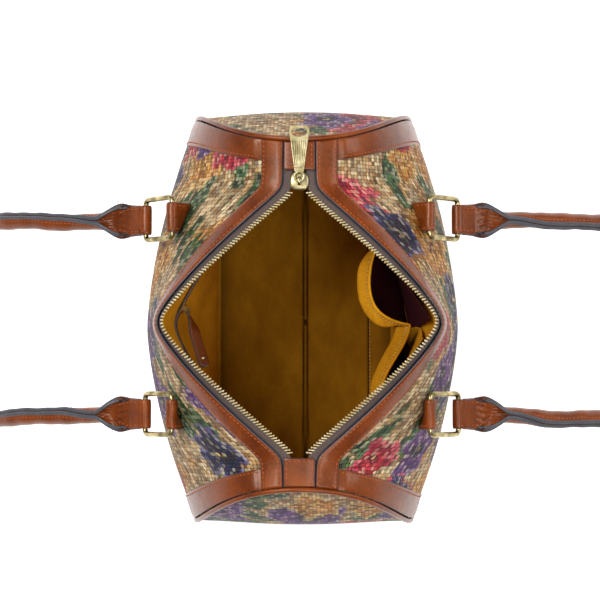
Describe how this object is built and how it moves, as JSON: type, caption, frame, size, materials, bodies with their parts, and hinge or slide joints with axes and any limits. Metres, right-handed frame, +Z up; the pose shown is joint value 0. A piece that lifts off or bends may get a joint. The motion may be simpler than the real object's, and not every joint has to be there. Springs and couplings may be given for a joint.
{
  "type": "zip-top satchel",
  "caption": "Soft woven satchel with leather-banded ends, a zip top lying open over a suede lining, and rolled leather handles on brass rings.",
  "frame": {"origin": "middle of the base, on the floor", "axes": "+X along the zip towards its slider, -Y to the front, +Z up"},
  "size_m": [0.3238, 0.6336, 0.2129],
  "materials": {
    "woven_cloth": "basket weave, printed",
    "leather": "oiled cognac grain",
    "dark_leather": "oiled dark brown",
    "suede": "napped suede",
    "zip_tape": "woven tape",
    "antique_brass": "antique, lightly worn",
    "fibre_board": "plain board"
  },
  "bodies": {
    "bag": {"front_panel": "woven_cloth", "back_panel": "woven_cloth", "base_panel": "leather", "base_board": "fibre_board", "left_end_panel": "woven_cloth", "right_end_panel": "woven_cloth", "left_piping": "leather", "right_piping": "leather", "front_left_band": "leather", "front_right_band": "leather", "back_left_band": "leather", "back_right_band": "leather", "front_zip_binding": "leather", "back_zip_binding": "leather", "front_zip_tape": "zip_tape", "back_zip_tape": "zip_tape", "front_zip_teeth": "antique_brass", "back_zip_teeth": "antique_brass", "zip_slider": "antique_brass", "left_zip_patch": "leather", "right_zip_patch": "leather", "front_left_tab": "leather", "front_right_tab": "leather", "back_left_tab": "leather", "back_right_tab": "leather", "lining": "suede", "left_slip_pocket": "suede", "right_slip_pocket": "suede", "inner_pocket_zip": "zip_tape", "inner_pocket_slider": "antique_brass"},
    "front_rings": {"front_left_ring": "antique_brass", "front_right_ring": "antique_brass"},
    "back_rings": {"back_left_ring": "antique_brass", "back_right_ring": "antique_brass"},
    "front_handle": {"front_handle": "leather"},
    "back_handle": {"back_handle": "leather"},
    "zip_pull": {"zip_pull": "antique_brass"},
    "inner_pull": {"inner_pocket_pull": "dark_leather"}
  },
  "joints": [
    {"name": "front_ring_swing", "type": "hinge", "parent": "bag", "child": "front_rings", "pos_m": [0, -0.09798, 0.16], "axis": [-1, 0, 0], "range_deg": [-10, 140]},
    {"name": "front_handle_fold", "type": "hinge", "parent": "front_rings", "child": "front_handle", "pos_m": [0, -0.12073, 0.13473], "axis": [-1, 0, 0], "range_deg": [-45, 6]},
    {"name": "back_ring_swing", "type": "hinge", "parent": "bag", "child": "back_rings", "pos_m": [0, 0.09798, 0.16], "axis": [1, 0, 0], "range_deg": [-10, 140]},
    {"name": "back_handle_fold", "type": "hinge", "parent": "back_rings", "child": "back_handle", "pos_m": [0, 0.12073, 0.13473], "axis": [1, 0, 0], "range_deg": [-45, 6]},
    {"name": "zip_pull_swing", "type": "hinge", "parent": "bag", "child": "zip_pull", "pos_m": [0.0983, 0, 0.19825], "axis": [0, -1, 0], "range_deg": [0, 165]},
    {"name": "inner_pull_swing", "type": "hinge", "parent": "bag", "child": "inner_pull", "pos_m": [0.00448, 0.08728, 0.14904], "axis": [0.0843, 0.016, 0.9963], "range_deg": [0, 60]}
  ]
}
